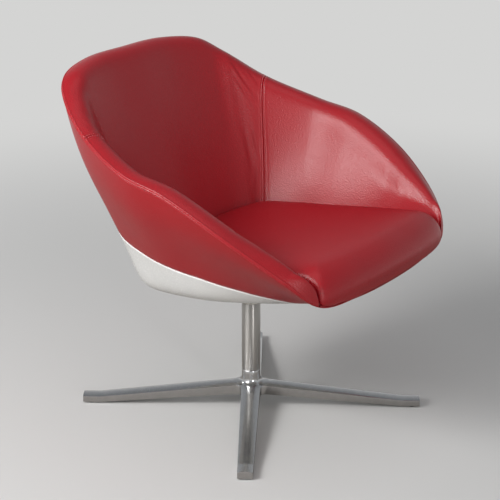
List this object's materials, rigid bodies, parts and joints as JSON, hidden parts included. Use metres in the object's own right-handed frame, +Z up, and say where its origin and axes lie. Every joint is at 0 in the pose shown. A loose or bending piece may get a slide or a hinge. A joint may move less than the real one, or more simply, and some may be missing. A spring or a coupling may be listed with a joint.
{
  "type": "pedestal swivel armchair",
  "caption": "Leather tub armchair with a smooth plastic lower shell, turning on a steel column over a low cross-shaped cast aluminium foot.",
  "frame": {"origin": "on the floor, under the middle of the chair's outline, 7.5 mm ahead of the column's axis", "axes": "+Z up, the sitter faces -Y, +X is at the sitter's left"},
  "size_m": [0.7394, 0.6914, 0.7525],
  "materials": {
    "red_leather": "dyed smooth leather with a fine grain and a soft sheen",
    "white_plastic": "glossy white moulding",
    "polished_aluminium": "hand-polished casting",
    "brushed_steel": "turned and brushed round the tube",
    "zinc_steel": "zinc-plated",
    "black_plastic": "moulded, matt",
    "nylon": "turned nylon",
    "plywood": "raw birch plywood"
  },
  "bodies": {
    "base": {"base_star": "polished_aluminium", "glide_1": "black_plastic", "glide_2": "black_plastic", "glide_3": "black_plastic", "glide_4": "black_plastic", "column_tube": "brushed_steel", "column_plug": "zinc_steel", "base_washer": "zinc_steel", "base_bolt": "zinc_steel", "lower_bush": "nylon", "upper_bush": "nylon", "thrust_washer": "zinc_steel"},
    "seat": {"spindle": "zinc_steel", "retaining_ring": "zinc_steel", "seat_plate": "zinc_steel", "anchor_plate": "zinc_steel", "plate_bolt_1": "zinc_steel", "plate_bolt_2": "zinc_steel", "plate_bolt_3": "zinc_steel", "plate_bolt_4": "zinc_steel", "outer_shell": "white_plastic", "outer_cover": "red_leather", "tub_frame": "black_plastic", "board_screw_1": "zinc_steel", "board_screw_2": "zinc_steel", "board_screw_3": "zinc_steel", "board_screw_4": "zinc_steel", "seat_board": "plywood", "back_pad": "red_leather", "arm_pad_left": "red_leather", "arm_pad_right": "red_leather", "seat_cushion": "red_leather"}
  },
  "joints": [
    {"name": "seat_swivel", "type": "hinge", "parent": "base", "child": "seat", "pos_m": [0, 0.0075, 0], "axis": [0, 0, 1], "continuous": true}
  ]
}
